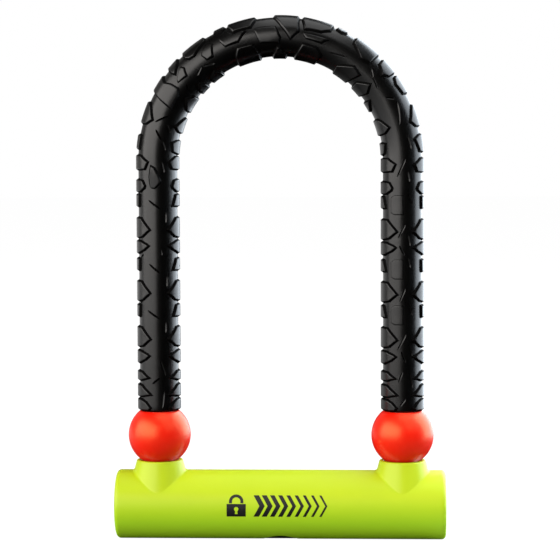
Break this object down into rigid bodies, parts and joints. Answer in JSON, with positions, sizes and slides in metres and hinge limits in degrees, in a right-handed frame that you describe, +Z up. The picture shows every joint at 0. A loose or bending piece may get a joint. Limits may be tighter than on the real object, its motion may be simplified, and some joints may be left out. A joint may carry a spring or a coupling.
{
  "type": "u lock",
  "caption": "Bicycle U lock: a bent steel shackle in a tread-patterned rubber sleeve, with a ball on each leg, locked by two bolts in a tubular cross bar.",
  "frame": {"origin": "on the underside of the bar, midway between its ends, at the lowest point of the lock as it stands in the picture", "axes": "+Z up the shackle legs, away from the bar; +X along the bar; -Y towards the printed front of the bar"},
  "size_m": [0.166, 0.0348, 0.2633],
  "materials": {
    "tread_rubber": "matte moulded rubber with a tyre tread relief",
    "lime_plastic": "satin moulded lime plastic",
    "orange_plastic": "satin orange red plastic",
    "hardened_steel": "hardened, plated steel",
    "bright_steel": "ground steel",
    "brass": "turned brass",
    "cast_zinc": "die-cast zinc alloy",
    "black_plastic": "black moulded plastic"
  },
  "bodies": {
    "bar": {"bar_cover": "lime_plastic", "end_cap_left": "lime_plastic", "end_cap_right": "lime_plastic", "lock_tube": "hardened_steel", "bush_left": "black_plastic", "bush_right": "black_plastic", "end_plug_left": "hardened_steel", "end_plug_right": "hardened_steel", "plug_pin_left": "bright_steel", "plug_pin_right": "bright_steel", "housing_lower": "cast_zinc", "housing_upper": "cast_zinc", "housing_pin_left": "bright_steel", "housing_pin_right": "bright_steel", "bolt_guide_left": "cast_zinc", "bolt_guide_right": "cast_zinc", "cylinder_body": "brass", "anti_drill_plate": "hardened_steel", "keyhole_frame": "black_plastic"},
    "shackle": {"shackle": "hardened_steel", "tread_sleeve": "tread_rubber", "ball_left": "orange_plastic", "ball_right": "orange_plastic"},
    "core": {"core_plug": "brass", "disc_1": "brass", "disc_2": "brass", "disc_3": "brass", "disc_4": "brass", "disc_5": "brass", "disc_6": "brass", "sidebar": "bright_steel", "drive_cam": "hardened_steel"},
    "bolt_left": {"bolt_left": "bright_steel"},
    "bolt_right": {"bolt_right": "bright_steel"},
    "shutter": {"keyhole_shutter": "black_plastic"}
  },
  "joints": [
    {"name": "shackle_slide", "type": "slide", "parent": "bar", "child": "shackle", "axis": [0, 0, 1], "range_m": [0, 0.06]},
    {"name": "core_turn", "type": "hinge", "parent": "bar", "child": "core", "pos_m": [0, 0, 0.01], "axis": [0, 0, 1], "range_deg": [0, 90]},
    {"name": "bolt_left_slide", "type": "slide", "parent": "bar", "child": "bolt_left", "axis": [-1, 0, 0], "range_m": [0, 0.0051]},
    {"name": "bolt_right_slide", "type": "slide", "parent": "bar", "child": "bolt_right", "axis": [1, 0, 0], "range_m": [0, 0.0051]},
    {"name": "shutter_slide", "type": "slide", "parent": "bar", "child": "shutter", "axis": [1, 0, 0], "range_m": [0, 0.0046]}
  ],
  "couplings": [
    {"joint": "bolt_left_slide", "follows": "core_turn", "m_per_rad": 0.003241},
    {"joint": "bolt_right_slide", "follows": "core_turn", "m_per_rad": 0.003241}
  ]
}
